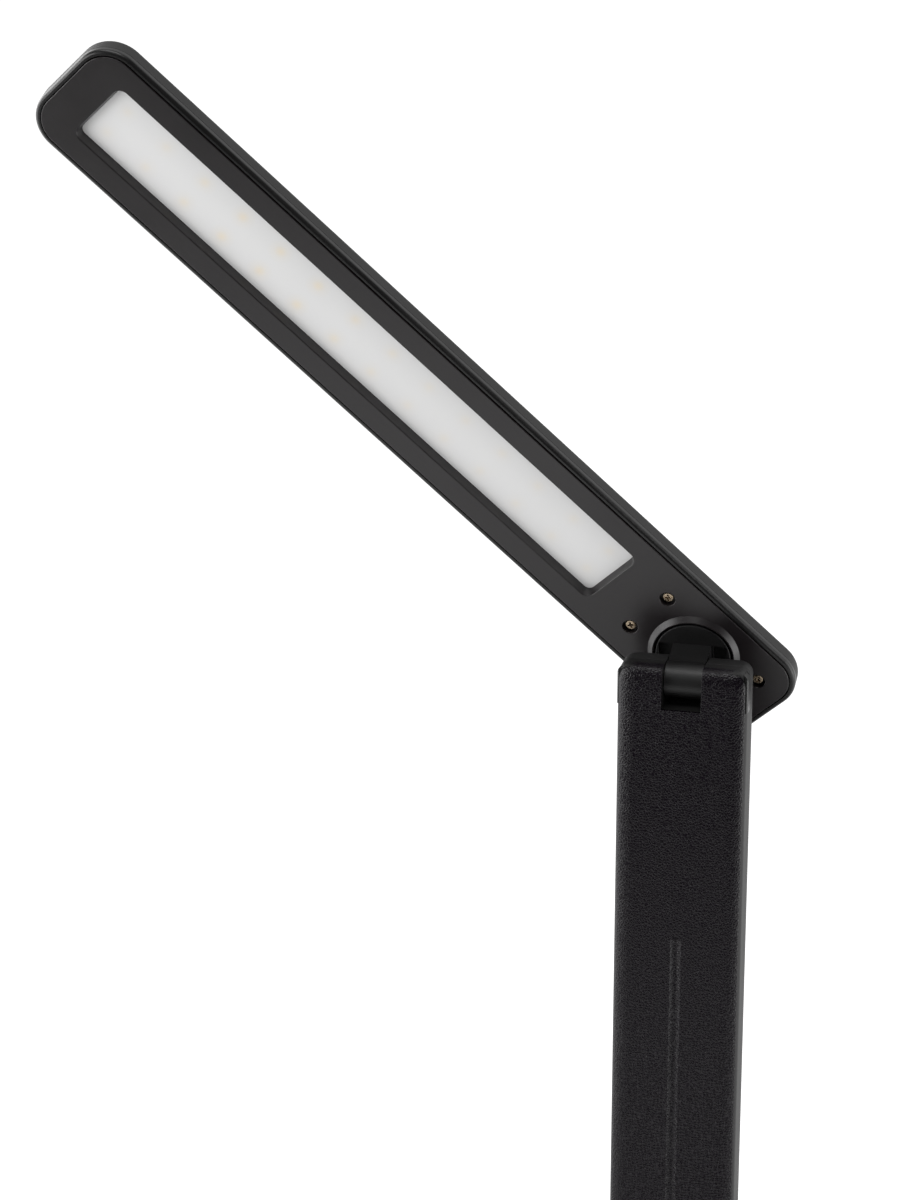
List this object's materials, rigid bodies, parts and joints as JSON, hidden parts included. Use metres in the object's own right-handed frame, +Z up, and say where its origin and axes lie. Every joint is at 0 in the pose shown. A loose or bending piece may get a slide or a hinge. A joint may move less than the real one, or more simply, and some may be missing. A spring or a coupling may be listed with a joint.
{
  "type": "folding desk lamp",
  "caption": "Folding LED desk lamp: flat bar head on a swivel and tilt knuckle, slim leather-faced post, weighted base.",
  "frame": {"origin": "centre of the underside of the rubber pad, on the surface that the lamp stands on", "axes": "+Z up, +Y towards the back of the lamp, +X to the right as seen from the front"},
  "size_m": [0.2565, 0.1649, 0.5334],
  "materials": {
    "grained_plastic": "fine grain, matt",
    "satin_plastic": "smooth satin",
    "imitation_leather": "fine pebbled, lightly glossy",
    "frosted_acrylic": "frosted, satin",
    "steel": "zinc-plated",
    "bronze_screw": "darkened bronze plating",
    "rubber": "matt",
    "white_board": "white solder mask on aluminium",
    "warm_led": "warm phosphor",
    "cool_led": "cool phosphor",
    "green_board": "solder mask",
    "black_gloss": "polished",
    "nylon": "plain",
    "lead_jacket": "plain"
  },
  "bodies": {
    "base": {"rubber_pad": "rubber", "base_bottom_cover": "grained_plastic", "base_top_cover": "grained_plastic", "base_weight": "steel", "base_screws": "steel", "hinge_post": "satin_plastic", "hinge_flange_screws": "steel", "touch_panel": "black_gloss", "touch_sensors": "rubber", "control_board": "green_board", "power_socket": "satin_plastic"},
    "stem": {"stem_front_shell": "satin_plastic", "stem_leather_panel": "imitation_leather", "stem_rear_shell": "satin_plastic", "upper_left_cap": "satin_plastic", "upper_right_cap": "satin_plastic", "lower_left_cap": "satin_plastic", "lower_right_cap": "satin_plastic", "upper_hinge_bracket": "steel", "lower_hinge_bracket": "steel", "bracket_screws": "steel", "tilt_axle": "steel", "tilt_spring_washers": "steel", "tilt_nut": "steel", "fold_axle": "steel", "fold_spring_washers": "steel", "fold_nut": "steel", "shell_screws": "steel", "stem_lead": "lead_jacket"},
    "knuckle": {"tilt_knuckle": "satin_plastic", "swivel_washer": "nylon", "swivel_retainer": "steel", "retainer_screws": "steel"},
    "head": {"head_top_cover": "grained_plastic", "head_rim_frame": "satin_plastic", "head_bottom_cover": "satin_plastic", "head_screws": "bronze_screw", "diffuser": "frosted_acrylic", "led_board": "white_board", "warm_leds": "warm_led", "cool_leds": "cool_led", "head_lead": "lead_jacket"}
  },
  "joints": [
    {"name": "stem_fold", "type": "hinge", "parent": "base", "child": "stem", "pos_m": [0, 0.056, 0.044], "axis": [1, 0, 0], "range_deg": [-15, 90]},
    {"name": "head_tilt", "type": "hinge", "parent": "stem", "child": "knuckle", "pos_m": [0, 0.056, 0.329], "axis": [1, 0, 0], "range_deg": [-17.5, 162.5]},
    {"name": "head_swivel", "type": "hinge", "parent": "knuckle", "child": "head", "pos_m": [0, 0.06926, 0.33318], "axis": [0, 0.9537, 0.3007], "range_deg": [-46.5, 133.5]}
  ]
}
